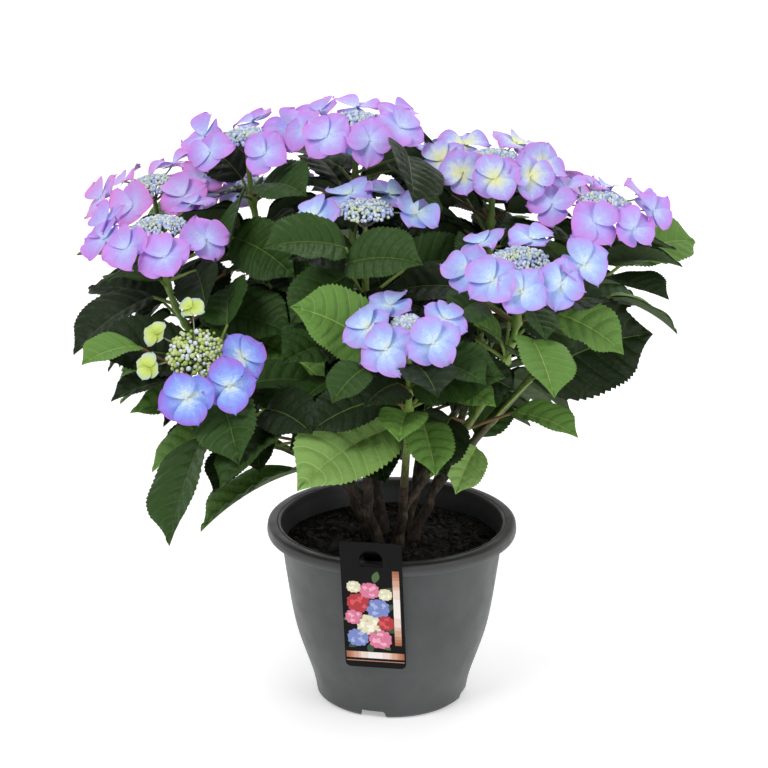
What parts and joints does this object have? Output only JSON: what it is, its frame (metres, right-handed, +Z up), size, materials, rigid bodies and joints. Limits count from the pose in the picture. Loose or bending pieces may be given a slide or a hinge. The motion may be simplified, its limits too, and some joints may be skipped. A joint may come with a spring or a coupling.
{
  "type": "potted lacecap hydrangea shrub",
  "caption": "Flowering lacecap hydrangea shrub with broad leaves on several woody stems, growing in a round nursery pot with a hanging plant label.",
  "frame": {"origin": "centre of the pot's flat underside", "axes": "+Z up along the pot's axis; -Y is the plant's front, where the label hangs; +X is its right as seen from the front"},
  "size_m": [0.6497, 0.584, 0.6249],
  "materials": {
    "pot": "satin",
    "soil": "matte",
    "label": "satin",
    "bark": "matte",
    "stem": "satin",
    "leaf": "satin",
    "flower": "matte"
  },
  "bodies": {
    "root": {"pot": "pot", "soil": "soil", "plant_label": "label", "woody_east": "bark", "woody_north": "bark", "woody_north_east": "bark", "woody_south": "bark", "woody_south_west": "bark", "woody_west": "bark", "stem_back": "stem", "stem_back_left": "stem", "stem_back_right": "stem", "stem_centre": "stem", "stem_far_left": "stem", "stem_front": "stem", "stem_left": "stem", "stem_low_back": "stem", "stem_low_left": "stem", "stem_right": "stem", "stem_right_front": "stem", "stem_top": "stem", "stem_top_left": "stem", "stem_top_right": "stem", "leaves_back": "leaf", "leaves_back_left": "leaf", "leaves_back_right": "leaf", "leaves_centre": "leaf", "leaves_far_left": "leaf", "leaves_front": "leaf", "leaves_left": "leaf", "leaves_low_back": "leaf", "leaves_low_left": "leaf", "leaves_right": "leaf", "leaves_right_front": "leaf", "leaves_top": "leaf", "leaves_top_left": "leaf", "leaves_top_right": "leaf", "flowers_back": "flower", "flowers_back_left": "flower", "flowers_back_right": "flower", "flowers_centre": "flower", "flowers_far_left": "flower", "flowers_front": "flower", "flowers_left": "flower", "flowers_low_back": "flower", "flowers_low_left": "flower", "flowers_right": "flower", "flowers_right_front": "flower", "flowers_top": "flower", "flowers_top_left": "flower", "flowers_top_right": "flower"}
  },
  "joints": []
}
